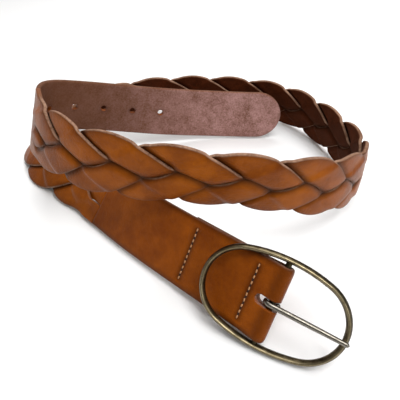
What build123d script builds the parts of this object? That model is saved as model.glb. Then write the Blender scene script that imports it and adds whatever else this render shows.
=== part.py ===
from build123d import *
from math import acos, asin, atan, atan2, cos, degrees, floor, hypot, pi, radians, sin, sqrt
import os

# A wide leather belt, slit and braided along its middle, coiled and standing on edge.

os.makedirs("parts", exist_ok=True)

# ---------------------------------------------------------------- driving dimensions (mm)
# The belt, from the buckle's bar to the tip.
strap_width = 45.0
leather = 3.5  # thickness of the strap
bar_to_slit = 146.0  # plain strap between the bar and the slit ends
braid_pitch = 39.1  # from one lobe to the next along one edge
braid_lobes = 19.5  # length of the braid in pitches, a whole number of halves
tail_length = 247.5  # plain strap between the slit ends and the tip

# The braid of the three strands that the strap is slit into.
slit = 0.3  # gap left by the slitting knife
merge = 24.0  # run over which the slit ends rise out of the strap before they cross
ease = 10.0  # run over which they pick up the slant of the braid
weave_rise = 0.69  # how far a strand swings out of the middle, in leather thicknesses
weave_flat = 0.06  # how much its crests are flattened, in leather thicknesses

# The five holes in the tail.
hole_radius = 2.5
hole_pitch = 25.4
hole_count = 5
slit_to_hole = 31.5

# The leather fold that holds the bar.
fold_leather = 2.8  # skived leather in the fold and the tab
tab_length = 66.0
tab_gap = 0.2  # between the tab and the strap that it is sewn to
fold_run = 11.0  # from the bar to where the tab meets the strap
slot_width = 5.8
slot_reach = 9.0  # how far the prong's slot runs past the bar

# The two sewn rows across the strap.
front_row = 14.0
rear_row = 59.0
stitch_count = 10
stitch_pitch = 3.6
thread_radius = 0.45
thread_hole_radius = 0.55
stitch_length = 2.4

# The buckle: a wire oval, a straight bar across its middle and a prong.
wire_width = 3.5  # seen from the front
wire_depth = 5.2
frame_length = 86.0
end_squareness = 2.5  # how much less than half its width the radius of the oval's ends is
side_clearance = 2.0  # between the strap's edge and the inside of the oval
bar_radius = 1.75
prong_radius = 1.6
running_clearance = 0.08
rest_gap = 0.6  # between resting pieces of different bodies
prong_overhang = 0.4  # past the outside of the oval

# How the belt lies.  Each row is a control point of a smooth curve, about one and a half strap
# widths apart: x and y of the strap's middle, the height of its lower edge in strap widths, and
# how far its top edge leans in over the coil, in degrees.
ROUTE = [
    (83, -145, 0.20, 36),
    (38, -106, 0.15, 36),
    (-7, -67, 0.10, 36),
    (-52, -28, 0.05, 36),
    (-87, 15, 0.02, 47),
    (-156, 63, 0.02, 61),
    (-131, 141, 0.02, 45),
    (-60, 153, 0.04, 16),
    (15, 154, 0.04, 8),
    (89, 143, 0.01, 13),
    (120, 79, 0.01, 3),
    (131, 13, 0.08, -2),
    (83, -40, 0.60, 2),
    (21, -51, 1.00, -18),
    (-73, -46, 1.10, 8),
    (-124, 19, 1.07, 25),
    (-127, 73, 0.74, 9),
    (-40, 98, 0.21, -3),
    (17, 112, 0.02, -5),
    (71, 106, 0.02, -3),
    (136, 118, 0.10, 0),
    (200, 108, 0.04, 0),
]
footprint_centre = (-16.4, 14.9)  # middle of the coil's footprint on the route's own axes
lowest_edge = -0.54  # height of the coil's lowest point on the route's own axes

# ---------------------------------------------------------------- the route of the strap
STEPS = 16  # samples in each span of the curve


def route_value(position):
    """The route's point and lean at a position counted in control points."""
    span = min(max(int(floor(position)), 0), len(ROUTE) - 4)
    t = position - span
    weights = (
        (1 - t) ** 3 / 6,
        (3 * t**3 - 6 * t**2 + 4) / 6,
        (-3 * t**3 + 3 * t**2 + 3 * t + 1) / 6,
        t**3 / 6,
    )
    x, y, lift, lean = (
        sum(w * row[i] for w, row in zip(weights, ROUTE[span:span + 4])) for i in range(4)
    )
    height = strap_width * (lift + cos(radians(lean)) / 2) - lowest_edge
    return Vector(x - footprint_centre[0], y - footprint_centre[1], height), lean


def length_table():
    """Length along the route at each sample, from the route's first point."""
    lengths = [0.0]
    previous = route_value(0)[0]
    for i in range(1, (len(ROUTE) - 3) * STEPS + 1):
        point = route_value(i / STEPS)[0]
        lengths.append(lengths[-1] + (point - previous).length)
        previous = point
    return lengths


LENGTHS = length_table()


def position_at(distance):
    """Position, in control points, of a distance along the strap from the bar."""
    if distance <= 0:
        return distance / LENGTHS[1] / STEPS
    i = 0
    while i < len(LENGTHS) - 2 and LENGTHS[i + 1] < distance:
        i += 1
    share = (distance - LENGTHS[i]) / (LENGTHS[i + 1] - LENGTHS[i])
    return (i + share) / STEPS


def strap_plane(distance):
    """Plane across the strap: x along its width towards the top edge, y out of its grain face."""
    step = 0.05
    position = position_at(distance)
    point, lean = route_value(position)
    along = (route_value(position + step)[0] - route_value(position - step)[0]).normalized()
    outward = Vector(-along.Y, along.X, 0).normalized()
    upward = along.cross(outward)
    top = upward * cos(radians(lean)) - outward * sin(radians(lean))
    return Plane(origin=point, x_dir=top, z_dir=along * -1)


braid_length = braid_lobes * braid_pitch + ease
braid_start = bar_to_slit + merge
braid_end = braid_start + braid_length
slit_end = braid_end + merge
tip = slit_end + tail_length


def spread(first, last, pitch):
    """Distances from first to last, evenly spaced and about one pitch apart."""
    count = max(int(round((last - first) / pitch)), 1)
    return [first + (last - first) * i / count for i in range(count + 1)]


# ---------------------------------------------------------------- the buckle's own plane
bore_radius = bar_radius + running_clearance
fold_radius = bore_radius + fold_leather
fold_turn = acos(bore_radius / fold_run)  # where the two layers leave the bar

start_plane = strap_plane(0)
grain_out = start_plane.y_dir
tailward = start_plane.z_dir * -1
bar_centre = start_plane.origin - grain_out * (leather / 2)

# Looking along the bar: x towards the tail, y out of the grain face, from the middle of the fold.
fold_plane = Plane(origin=bar_centre, x_dir=tailward, z_dir=start_plane.x_dir)

# The middle of the wire is an oval of four arcs.
line_length = frame_length / 2 - wire_width / 2
line_width = strap_width / 2 + side_clearance + wire_width / 2
end_radius = line_width - end_squareness
end_centre = line_length - end_radius
side_radius = (end_centre**2 + line_width**2 - end_radius**2) / (2 * (line_width - end_radius))
side_centre = line_width - side_radius
joint_share = side_radius / (side_radius - end_radius)
joint_x = end_centre * joint_share
joint_y = side_centre * (1 - joint_share)

# The oval leans back on the strap, resting where its wire crosses the strap's edges.
edge_crossing = end_centre + sqrt(end_radius**2 - (strap_width / 2) ** 2)
frame_tilt = asin((leather + wire_depth / 2 + rest_gap) / edge_crossing)
frame_along = tailward * cos(frame_tilt) + grain_out * sin(frame_tilt)
frame_plane = Plane(
    origin=bar_centre, x_dir=frame_along, z_dir=frame_along.cross(start_plane.x_dir)
)

# ---------------------------------------------------------------- buckle end of the strap
stitch_heights = [(i - (stitch_count - 1) / 2) * stitch_pitch for i in range(stitch_count)]
tab_face = -tab_gap - fold_leather  # the tab's outer face, under the strap
slot_length = slot_reach + fold_radius + slot_width  # runs out past the fold


def stitch_planes(row):
    """Planes on the strap's grain face at each stitch of a row, z out of the leather."""
    return [
        Plane(
            origin=fold_plane.from_local_coords(Vector(row, leather, height)),
            x_dir=start_plane.x_dir,
            z_dir=grain_out,
        )
        for height in stitch_heights
    ]


def fold_point(radius, turn):
    """Point of the fold at a radius round the bar and an angle from the tailward side."""
    return (radius * cos(turn), radius * sin(turn))


with BuildPart() as strap_run:
    for distance in spread(tab_length, bar_to_slit, 8):
        with BuildSketch(strap_plane(distance)):
            Rectangle(strap_width, leather)
    loft(ruled=True)

with BuildPart() as buckle_end_strap:
    with BuildSketch(fold_plane):
        with BuildLine():
            grain = Line((tab_length, leather), (fold_run, leather))
            Line(grain @ 1, fold_point(fold_radius, fold_turn))
            fold_back = ThreePointArc(
                fold_point(fold_radius, fold_turn),
                (-fold_radius, 0),
                fold_point(fold_radius, -fold_turn),
            )
            Polyline(
                fold_back @ 1,
                (fold_run, tab_face),
                (tab_length - 1, tab_face),
                (tab_length - 1, -tab_gap),
                (fold_run, -tab_gap),
                fold_point(bore_radius, -fold_turn),
            )
            bore = ThreePointArc(
                fold_point(bore_radius, -fold_turn),
                (-bore_radius, 0),
                fold_point(bore_radius, fold_turn),
            )
            Polyline(bore @ 1, (fold_run, 0), (tab_length, 0), grain @ 0)
        make_face()
    extrude(amount=strap_width / 2, both=True)
    add(strap_run.part)
    with BuildSketch(Plane(origin=bar_centre, x_dir=tailward, z_dir=grain_out)):
        with Locations((slot_reach - slot_length / 2, 0)):
            SlotOverall(slot_length, slot_width)
    extrude(amount=fold_radius * 2, both=True, mode=Mode.SUBTRACT)
    for row in (front_row, rear_row):
        for plane in stitch_planes(row):
            with BuildSketch(plane):
                Circle(thread_hole_radius)
            extrude(amount=tab_face - leather - 1, mode=Mode.SUBTRACT)
buckle_end_strap.part.label = "buckle_end_strap"
export_step(buckle_end_strap.part, "parts/buckle_end_strap.step")


# ---------------------------------------------------------------- the two sewn rows
def sew_row(row):
    """One row of separate stitches: a leg through both layers and a bar of thread on the grain."""
    with BuildPart() as stitches:
        for plane in stitch_planes(row):
            with BuildSketch(plane):
                Circle(thread_radius)
            extrude(amount=tab_face - leather)
            with BuildSketch(plane):
                SlotOverall(stitch_length, thread_radius * 2)
            extrude(amount=thread_radius)
    return stitches.part


for name, row in (("front", front_row), ("rear", rear_row)):
    stitch_row = sew_row(row)
    stitch_row.label = f"stitch_row_{name}"
    export_step(stitch_row, f"parts/stitch_row_{name}.step")

# ---------------------------------------------------------------- the braid
strand_width = strap_width / 3 - slit
swing = (strap_width - strand_width) / 2  # of a strand's middle, to each side
wave = braid_pitch * 3  # a strand comes back to the same edge after three lobes


def smooth_step(share):
    """A share from 0 to 1 that starts and ends level."""
    share = min(max(share, 0), 1)
    return share * share * (3 - 2 * share)


def slanted_run(run):
    """Length of full slant within a run that eases in and out of the braid."""
    run = min(max(run, 0), braid_length)
    if run < ease:
        return run * run / (2 * ease)
    if run > braid_length - ease:
        return braid_length - ease - (braid_length - run) ** 2 / (2 * ease)
    return run - ease / 2


def strand_section(strand, distance):
    """Across, outwards, width along the section and roll in degrees of a strand."""
    run = slanted_run(distance - braid_start)
    turn = 2 * pi * (strand / 3 - 0.25 - (run - braid_lobes * braid_pitch) / wave)
    from_slit = min(distance - bar_to_slit, slit_end - distance) / merge
    lift_share = smooth_step(from_slit / 0.6)
    cross_share = smooth_step((from_slit - 0.6) / 0.4)
    middle = swing * cos(turn)
    side = round(cos(turn) / cos(pi / 6)) if cross_share < 1 else 0
    across = middle * cross_share + side * strap_width / 3 * (1 - cross_share)
    outwards = leather * (weave_rise * sin(2 * turn) - weave_flat * sin(4 * turn))
    roll = atan(0.05 * sin(turn) - 0.2 * sin(3 * turn))
    moving = 0 < distance - braid_start < braid_length
    slant = swing * sin(turn) * 2 * pi / wave if moving else 0
    eased = min((distance - braid_start) / ease, (braid_end - distance) / ease, 1)
    width = strand_width * sqrt(1 + (slant * max(eased, 0)) ** 2)
    return across, outwards * lift_share, width, degrees(roll) * lift_share


def weave_strand(strand):
    """One strand, a flat ribbon that passes over and under the other two."""
    with BuildPart() as ribbon:
        for distance in spread(bar_to_slit, slit_end, braid_pitch / 6):
            across, outwards, width, roll = strand_section(strand, distance)
            with BuildSketch(strap_plane(distance)):
                with Locations((across, outwards)):
                    Rectangle(width, leather, rotation=roll)
        loft(ruled=True)
    return ribbon.part


for strand in range(3):
    ribbon = weave_strand(strand)
    ribbon.label = f"strand_{strand + 1}"
    export_step(ribbon, f"parts/strand_{strand + 1}.step")

# ---------------------------------------------------------------- tail end of the strap
tip_start = tip - strap_width / 2
tip_plane = strap_plane(tip_start)

with BuildPart() as tail_strap:
    for distance in spread(slit_end, tip_start, 8):
        with BuildSketch(strap_plane(distance)):
            Rectangle(strap_width, leather)
    loft(ruled=True)
    with BuildSketch(Plane(origin=tip_plane.origin, x_dir=tip_plane.x_dir, z_dir=tip_plane.y_dir)):
        with BuildLine():
            end = Line((-strap_width / 2, 0), (strap_width / 2, 0))
            ThreePointArc(end @ 1, (0, strap_width / 2), end @ 0)
        make_face()
    extrude(amount=leather / 2, both=True)
    for i in range(hole_count):
        hole = strap_plane(slit_end + slit_to_hole + i * hole_pitch)
        with BuildSketch(Plane(origin=hole.origin, x_dir=hole.x_dir, z_dir=hole.y_dir)):
            Circle(hole_radius)
        extrude(amount=leather * 2, both=True, mode=Mode.SUBTRACT)
tail_strap.part.label = "tail_strap"
export_step(tail_strap.part, "parts/tail_strap.step")

# ---------------------------------------------------------------- the buckle frame
bar_section = Plane(origin=bar_centre, x_dir=tailward, z_dir=start_plane.x_dir)

with BuildPart() as buckle_frame:
    with BuildLine(frame_plane):
        for side in (1, -1):
            ThreePointArc(
                (-joint_x, side * joint_y), (0, side * line_width), (joint_x, side * joint_y)
            )
            ThreePointArc(
                (side * joint_x, joint_y), (side * line_length, 0), (side * joint_x, -joint_y)
            )
    with BuildSketch(Plane(
        origin=frame_plane.from_local_coords(Vector(0, line_width, 0)),
        x_dir=frame_plane.y_dir,
        z_dir=frame_plane.x_dir,
    )):
        Ellipse(wire_width / 2, wire_depth / 2)
    sweep()
    with BuildSketch(bar_section):
        Circle(bar_radius)
    extrude(amount=line_width, both=True, mode=Mode.SUBTRACT)
buckle_frame.part.label = "buckle_frame"
export_step(buckle_frame.part, "parts/buckle_frame.step")

with BuildPart() as centre_bar:
    with BuildSketch(bar_section):
        Circle(bar_radius)
    extrude(amount=line_width, both=True)
centre_bar.part.label = "centre_bar"
export_step(centre_bar.part, "parts/centre_bar.step")

# ---------------------------------------------------------------- the prong
eye_radius = bore_radius + prong_radius  # of the wire's middle round the bar
tip_rise = wire_depth / 2 + prong_radius + rest_gap  # of its end over the oval's own plane
tip_reach = frame_length / 2 + prong_overhang
shank_turn = atan2(tip_rise, tip_reach) + acos(eye_radius / hypot(tip_rise, tip_reach))

# Looking along the bar: x towards the free end of the oval, y out of the buckle's face.
prong_plane = Plane(
    origin=bar_centre, x_dir=frame_along * -1, z_dir=start_plane.x_dir * -1
)

with BuildPart() as prong:
    with BuildLine(prong_plane):
        shank = Line(
            (tip_reach, tip_rise), (eye_radius * cos(shank_turn), eye_radius * sin(shank_turn))
        )
        ThreePointArc(
            shank @ 1,
            (eye_radius * cos(shank_turn + pi * 0.75), eye_radius * sin(shank_turn + pi * 0.75)),
            (eye_radius, 0),
        )
    with BuildSketch(Plane(origin=shank @ 0, z_dir=shank % 0)):
        Circle(prong_radius)
    sweep()
prong.part.label = "prong"
export_step(prong.part, "parts/prong.step")
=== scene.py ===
import logging
import math
from dataclasses import dataclass, field
from enum import Enum

import bpy
import numpy as np
from mathutils import Matrix, Vector


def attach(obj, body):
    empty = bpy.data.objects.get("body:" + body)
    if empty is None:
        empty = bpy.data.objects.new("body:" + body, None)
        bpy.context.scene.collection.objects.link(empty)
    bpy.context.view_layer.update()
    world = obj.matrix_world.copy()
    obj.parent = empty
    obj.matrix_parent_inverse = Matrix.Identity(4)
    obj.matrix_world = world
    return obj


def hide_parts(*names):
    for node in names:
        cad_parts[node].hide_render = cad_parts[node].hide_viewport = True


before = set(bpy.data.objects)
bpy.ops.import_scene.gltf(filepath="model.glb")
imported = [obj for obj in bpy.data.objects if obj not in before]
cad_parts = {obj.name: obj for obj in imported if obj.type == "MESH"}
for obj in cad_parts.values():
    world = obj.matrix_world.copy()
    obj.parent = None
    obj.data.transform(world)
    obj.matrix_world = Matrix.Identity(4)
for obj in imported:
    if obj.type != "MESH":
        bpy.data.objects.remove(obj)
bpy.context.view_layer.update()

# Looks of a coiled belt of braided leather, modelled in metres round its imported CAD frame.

Array = np.ndarray
Piece = bpy.types.Object
Material = bpy.types.Material
Tree = bpy.types.NodeTree
Socket = bpy.types.NodeSocket
Colour = tuple[float, float, float]

LOG = logging.getLogger("belt")
MM = 0.001
# The awl holes are near-black balls, painted shade where the thread goes in.
AWL_SHADE_MARK = "awl_hole_shade"  # face attribute of the holes beside the stitches
STRAP_EDGE = 0.8  # how raw the edges of the plain strap look


class Row(Enum):
    """The two sewn rows, by their distance from the bar, in metres."""

    FRONT = 14 * MM
    REAR = 59 * MM


class Mask(Enum):
    """Point attributes that the leather finishes read."""

    EDGE = "raw_edge"
    FLESH = "flesh_side"
    # Painted shade: dark lines along covering strands, round hole rims and on the walls of cut holes.
    CREASE = "crease"
    # Burnish, rubbed metal and stain, plus painted shade under covering strands, round the fold and along
    # the sewn rows.
    SHADE = "burnish"


def smooth_step(share: Array) -> Array:
    """A share clipped to 0 and 1 that starts and ends level."""
    share = np.clip(share, 0.0, 1.0)
    return share * share * (3 - 2 * share)


def unit(vectors: Array) -> Array:
    """The vectors at a length of one."""
    return vectors / np.linalg.norm(vectors, axis=1, keepdims=True)


def run_along(path: Array) -> Array:
    """Length along a path at each of its points."""
    return np.concatenate([[0.0], np.cumsum(np.linalg.norm(np.diff(path, axis=0), axis=1))])


# ---- the strap's route
@dataclass
class Belt:
    """Sizes of the strap and braid, as the CAD model has them."""

    width: float = 45 * MM
    leather: float = 3.5 * MM
    fold_leather: float = 2.8 * MM
    tab_gap: float = 0.2 * MM
    tab_length: float = 65 * MM
    fold_run: float = 11 * MM
    bar_radius: float = 1.75 * MM
    running_clearance: float = 0.08 * MM
    bar_to_slit: float = 146 * MM
    braid_pitch: float = 39.1 * MM
    braid_lobes: float = 19.5
    merge: float = 24 * MM
    ease: float = 10 * MM
    tail_length: float = 247.5 * MM
    slit_to_hole: float = 31.5 * MM
    hole_pitch: float = 25.4 * MM
    hole_count: int = 5
    hole_radius: float = 2.5 * MM

    @property
    def braid_start(self) -> float:
        """Where the strands begin to cross."""
        return self.bar_to_slit + self.merge

    @property
    def braid_length(self) -> float:
        """Length of the crossing strands along the strap."""
        return self.braid_lobes * self.braid_pitch + self.ease

    @property
    def braid_end(self) -> float:
        """Where the strands stop crossing."""
        return self.braid_start + self.braid_length

    @property
    def slit_end(self) -> float:
        """Far end of the slits."""
        return self.braid_end + self.merge

    @property
    def tip(self) -> float:
        """The tail's tip."""
        return self.slit_end + self.tail_length


@dataclass
class Route:
    """The smooth curve that the strap follows, on edge, from the bar to past the tip.

    Each row is a control point: x and y in millimetres, the lower edge's height in strap widths
    and the inward lean of the top edge in degrees.
    """

    strap_width: float
    centre: tuple[float, float] = (-16.4, 14.9)
    lowest: float = -0.54
    samples: int = 16
    rows: tuple[tuple[float, float, float, float], ...] = (
        (83, -145, 0.20, 36),
        (38, -106, 0.15, 36),
        (-7, -67, 0.10, 36),
        (-52, -28, 0.05, 36),
        (-87, 15, 0.02, 47),
        (-156, 63, 0.02, 61),
        (-131, 141, 0.02, 45),
        (-60, 153, 0.04, 16),
        (15, 154, 0.04, 8),
        (89, 143, 0.01, 13),
        (120, 79, 0.01, 3),
        (131, 13, 0.08, -2),
        (83, -40, 0.60, 2),
        (21, -51, 1.00, -18),
        (-73, -46, 1.10, 8),
        (-124, 19, 1.07, 25),
        (-127, 73, 0.74, 9),
        (-40, 98, 0.21, -3),
        (17, 112, 0.02, -5),
        (71, 106, 0.02, -3),
        (136, 118, 0.10, 0),
        (200, 108, 0.04, 0),
    )
    lengths: Array = field(init=False)

    def __post_init__(self) -> None:
        """Measures the length along the curve at each sample."""
        count = (len(self.rows) - 3) * self.samples
        points = self.value(np.arange(count + 1) / self.samples)[0]
        self.lengths = run_along(points)

    def value(self, position: Array) -> tuple[Array, Array]:
        """The curve at positions counted in control points.

        Args:
            position: Positions, one for each point wanted.

        Returns:
            The strap's middle points in metres, and its lean in radians.
        """
        rows = np.array(self.rows, dtype=float)
        span = np.clip(np.floor(position).astype(int), 0, len(rows) - 4)
        t = position - span
        weights = (
            (1 - t) ** 3 / 6,
            (3 * t**3 - 6 * t**2 + 4) / 6,
            (-3 * t**3 + 3 * t**2 + 3 * t + 1) / 6,
            t**3 / 6,
        )
        x, y, lift, lean = sum(w[:, None] * rows[span + k] for k, w in enumerate(weights)).T
        lean = np.radians(lean)
        height = self.strap_width * (lift + np.cos(lean) / 2) - self.lowest * MM
        return np.stack([(x - self.centre[0]) * MM, (y - self.centre[1]) * MM, height], 1), lean

    def section(self, distance: Array) -> tuple[Array, Array, Array, Array]:
        """The strap's cross plane at distances along it from the bar.

        Args:
            distance: Distances in metres.

        Returns:
            Middle points, and unit vectors along the strap, towards its top edge and out of its grain.
        """
        position = np.interp(distance, self.lengths, np.arange(len(self.lengths)) / self.samples)
        start = distance / self.lengths[1] / self.samples
        position = np.where(distance < 0, start, position)
        step = 0.05
        middle, lean = self.value(position)
        along = unit(self.value(position + step)[0] - self.value(position - step)[0])
        outward = unit(np.stack([-along[:, 1], along[:, 0], np.zeros(len(along))], 1))
        upward = np.cross(along, outward)
        cosine, sine = np.cos(lean)[:, None], np.sin(lean)[:, None]
        return middle, along, upward * cosine - outward * sine, outward * cosine + upward * sine


# ---- meshes of rings
@dataclass
class Ring:
    """Cross-section of a leather ribbon: flat faces and rounded corners.

    spread runs from -1 to 1 across the flat width, and side and rise are metres added to it.
    """

    thickness: float
    corner: float
    flat_points: int
    corner_points: int = 4
    spread: Array = field(init=False)
    side: Array = field(init=False)
    rise: Array = field(init=False)

    def __post_init__(self) -> None:
        """Lays out the ring's points, grain face first."""
        flat = np.linspace(-1, 1, self.flat_points)
        turns = np.linspace(0, math.pi / 2, self.corner_points + 1)[1:]
        across, up = self.corner * np.sin(turns), self.corner * np.cos(turns)
        half = self.thickness / 2
        low = half - self.corner
        parts = [
            (flat, 0 * flat, 0 * flat + half),
            (1 + 0 * turns, across, low + up),
            (1 + 0 * turns, up, -low - across),
            (-flat, 0 * flat, 0 * flat - half),
            (-1 + 0 * turns, -across, -low - up),
            (-1 + 0 * turns[:-1], -up[:-1], low + across[:-1]),
        ]
        self.spread, self.side, self.rise = (np.concatenate(c) for c in zip(*parts))

    def across(self, half_width: Array) -> Array:
        """Each point's place across a ribbon, for each half width."""
        corner = np.minimum(self.corner, half_width * 0.6)[:, None] / self.corner
        flat = (half_width[:, None] - self.corner * corner) * self.spread[None, :]
        return flat + self.side[None, :] * corner

    @property
    def on_grain(self) -> Array:
        """Which of the points lie on the grain side, as one row."""
        return (self.rise > 0)[None, :]

    def masks(self) -> tuple[Array, Array]:
        """How far each point belongs to the raw edge and to the flesh side."""
        half = self.thickness / 2
        edge = np.clip(np.abs(self.side) / self.corner * 1.6 - 0.5, 0, 1)
        flesh = np.clip(0.5 - self.rise / half, 0, 1) * (1 - edge) + 0.4 * edge
        return edge, flesh


def linked_mesh(name: str, points: list, faces: list, masks: dict[Mask, Array]) -> Piece:
    """Makes a mesh with point attributes and links its object to the scene.

    Args:
        name: Name of the object and its mesh.
        points: Its points, in metres.
        faces: Its faces, as the numbers of their points.
        masks: Values for each point attribute, in the same order as the points.

    Returns:
        The object.
    """
    mesh = bpy.data.meshes.new(name)
    mesh.from_pydata(points, [], faces)
    for mask, values in masks.items():
        layer = mesh.attributes.new(mask.value, "FLOAT", "POINT")
        layer.data.foreach_set("value", np.ravel(values).astype(np.float32))
    result = bpy.data.objects.new(name, mesh)
    bpy.context.scene.collection.objects.link(result)
    return result


def mesh_from_rings(name: str, rings: Array, masks: dict[Mask, Array], closed: bool = False) -> Piece:
    """Makes one closed surface through rings of points.

    Args:
        name: Name of the object.
        rings: Points, by ring, by place in the ring.
        masks: Values for each point attribute, in the same order as the points.
        closed: Whether the last ring joins the first; otherwise both ends are capped.

    Returns:
        The object, linked to the scene.
    """
    count, around = rings.shape[:2]
    points = rings.reshape(-1, 3)
    ring_index = np.arange(count if closed else count - 1)[:, None]
    place = np.arange(around)[None, :]
    after = (ring_index + 1) % count
    beside = (place + 1) % around
    corners = [
        ring_index * around + place, ring_index * around + beside,
        after * around + beside, after * around + place,
    ]
    faces = [tuple(f) for f in np.stack(corners, -1).reshape(-1, 4).tolist()]
    if not closed:
        faces.append(tuple(range(around - 1, -1, -1)))
        faces.append(tuple((count - 1) * around + i for i in range(around)))
    a, b, c = (points[np.array([f[i] for f in faces])] for i in range(3))
    if np.einsum("ij,ij->", a, np.cross(b, c)) < 0:
        faces = [f[::-1] for f in faces]
    piece = linked_mesh(name, points.tolist(), faces, masks)
    piece.data.polygons.foreach_set("use_smooth", [True] * len(faces))
    piece.data.update()
    return piece


def ribbon(
    name: str, ring: Ring, planes: tuple[Array, Array, Array], across: Array,
    outward: Array, raw: Array | float, crease: Array, burnish: Array,
) -> Piece:
    """Makes a ribbon of leather through cross planes.

    Args:
        name: Name of the object.
        ring: The ring of points in each plane.
        planes: Middle points, and unit vectors towards the top edge and out of the grain.
        across: Place of each point across the strap.
        outward: Height of each point out of the leather's middle.
        raw: How raw the edges look.
        crease: How dark each point is painted as shade in a crease.
        burnish: How burnished each point is, plus how dark it is painted as shade.

    Returns:
        The ribbon.
    """
    middle, top, out = planes
    points = middle[:, None] + across[..., None] * top[:, None] + outward[..., None] * out[:, None]
    edge, flesh = (np.broadcast_to(mask, across.shape) for mask in ring.masks())
    masks = {Mask.EDGE: edge * raw, Mask.FLESH: flesh, Mask.CREASE: crease, Mask.SHADE: burnish}
    return mesh_from_rings(name, points, masks)


def settle(piece: Piece, scraps: list[Piece]) -> None:
    """Turns a piece with modifiers into a plain mesh and removes what cut it."""
    evaluated = piece.evaluated_get(bpy.context.evaluated_depsgraph_get())
    mesh = bpy.data.meshes.new_from_object(evaluated)
    piece.modifiers.clear()
    piece.data = mesh
    for scrap in scraps:
        bpy.data.objects.remove(scrap)


def cutter(name: str, outline: list[tuple[float, float]], axes: tuple[Array, ...], reach: float) -> Piece:
    """A prism that cuts a hole whose walls are painted dark as shade.

    Args:
        name: Name of the helper.
        outline: Its outline in its own plane, anticlockwise.
        axes: Unit vectors along the plane's x and y and out of it, and its origin.
        reach: How far it reaches to each side of the plane.

    Returns:
        The helper object.
    """
    x_axis, y_axis, z_axis, origin = axes
    points = [origin + x * x_axis + y * y_axis + z * z_axis for z in (-reach, reach) for x, y in outline]
    count = len(outline)
    faces = [tuple(range(count - 1, -1, -1)), tuple(range(count, 2 * count))]
    faces += [(i, (i + 1) % count, count + (i + 1) % count, count + i) for i in range(count)]
    # The walls take the raw-edge mask and the crease mask, which paints them dark as shade.
    walls = {mask: np.full(len(points), float(mask in (Mask.EDGE, Mask.CREASE))) for mask in Mask}
    return linked_mesh(name, [point.tolist() for point in points], faces, walls)


def cut(piece: Piece, tools: list[Piece]) -> None:
    """Cuts a piece with each tool in turn and removes the tools."""
    for tool in tools:
        step = piece.modifiers.new(tool.name, "BOOLEAN")
        step.operation = "DIFFERENCE"
        step.solver = "EXACT"
        step.object = tool
    settle(piece, tools)


def stadium(length: float, width: float, points: int = 12) -> list[tuple[float, float]]:
    """Outline of a slot with round ends, centred on the origin along x."""
    radius, half = width / 2, length / 2 - width / 2
    turns = np.linspace(-math.pi / 2, math.pi / 2, points)
    right = [(half + radius * math.cos(t), radius * math.sin(t)) for t in turns]
    return right + [(-x, -y) for x, y in right]


# ---- node trees
class Nodes:
    """A node tree with short ways to add nodes and to feed their inputs."""

    def __init__(self, tree: Tree) -> None:
        """Takes the tree that is to be filled."""
        self.tree = tree

    @classmethod
    def group(cls, name: str, kind: str, inputs: dict[str, float | str], outputs: dict[str, str]) -> "Nodes":
        """Starts a group with named sockets.

        Args:
            name: Name of the group.
            kind: Type of its tree.
            inputs: By label, a Float socket's default or the name of another type of socket.
            outputs: Types of socket, by label.

        Returns:
            The group, with its input and output nodes as source and sink.
        """
        nodes = cls(bpy.data.node_groups.new(name, kind))
        face = nodes.tree.interface
        for label, given in inputs.items():
            named = given if isinstance(given, str) else "Float"
            socket = face.new_socket(label, in_out="INPUT", socket_type=f"NodeSocket{named}")
            if not isinstance(given, str):
                socket.default_value = given
        for label, named in outputs.items():
            face.new_socket(label, in_out="OUTPUT", socket_type=f"NodeSocket{named}")
        nodes.source, nodes.sink = nodes.add("NodeGroupInput"), nodes.add("NodeGroupOutput")
        return nodes

    def feed(self, socket: Socket, value: object) -> None:
        """Links an input to a socket, or sets it to a value."""
        if isinstance(value, Socket):
            self.tree.links.new(value, socket)
        elif value is not None:
            socket.default_value = (*value, 1.0) if socket.type == "RGBA" else value

    def add(
        self, kind: str, inputs: dict[str | int, object] | None = None, **settings: object
    ) -> bpy.types.Node:
        """Adds a node.

        Args:
            kind: The node's type.
            inputs: Sockets or values that feed its inputs.
            settings: Properties and their values.

        Returns:
            The new node.
        """
        node = self.tree.nodes.new(kind)
        for key, value in settings.items():
            setattr(node, key, value)
        for key, value in (inputs or {}).items():
            self.feed(node.inputs[key], value)
        return node

    def math(self, operation: str, *values: object, clamp: bool = False) -> Socket:
        """The result of a Math node that sockets or numbers feed."""
        node = self.add("ShaderNodeMath", dict(enumerate(values)), operation=operation, use_clamp=clamp)
        return node.outputs[0]

    def mix(self, share: object, first: object, second: object) -> Socket:
        """The colour between two colours, at a share from the first to the second."""
        return self.add("ShaderNodeMix", {0: share, 6: first, 7: second}, data_type="RGBA").outputs[2]

    def noise(self, place: Socket, scale: object, detail: float, roughness: float) -> Socket:
        """The value of noise at a place."""
        inputs = {"Vector": place, "Scale": scale, "Detail": detail, "Roughness": roughness}
        return self.add("ShaderNodeTexNoise", inputs).outputs[0]

    def cells(self, place: Socket, scale: object, steepness: float) -> Socket:
        """Cells that are 1 in their middles and fall to 0 along their borders."""
        inputs = {"Vector": place, "Scale": scale}
        cells = self.add("ShaderNodeTexVoronoi", inputs, feature="DISTANCE_TO_EDGE")
        return self.math("MINIMUM", self.math("MULTIPLY", cells.outputs["Distance"], steepness), 1.0)

    def bump(self, height: Socket, strength: float, depth: float) -> Socket:
        """The normal of a surface in relief."""
        inputs = {"Height": height, "Strength": strength, "Distance": depth}
        return self.add("ShaderNodeBump", inputs).outputs[0]

    def point(self, x: Socket | None, z: Socket | None) -> Socket:
        """A vector with the given x and z."""
        return self.add("ShaderNodeCombineXYZ", {0: x, 2: z}).outputs[0]


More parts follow.
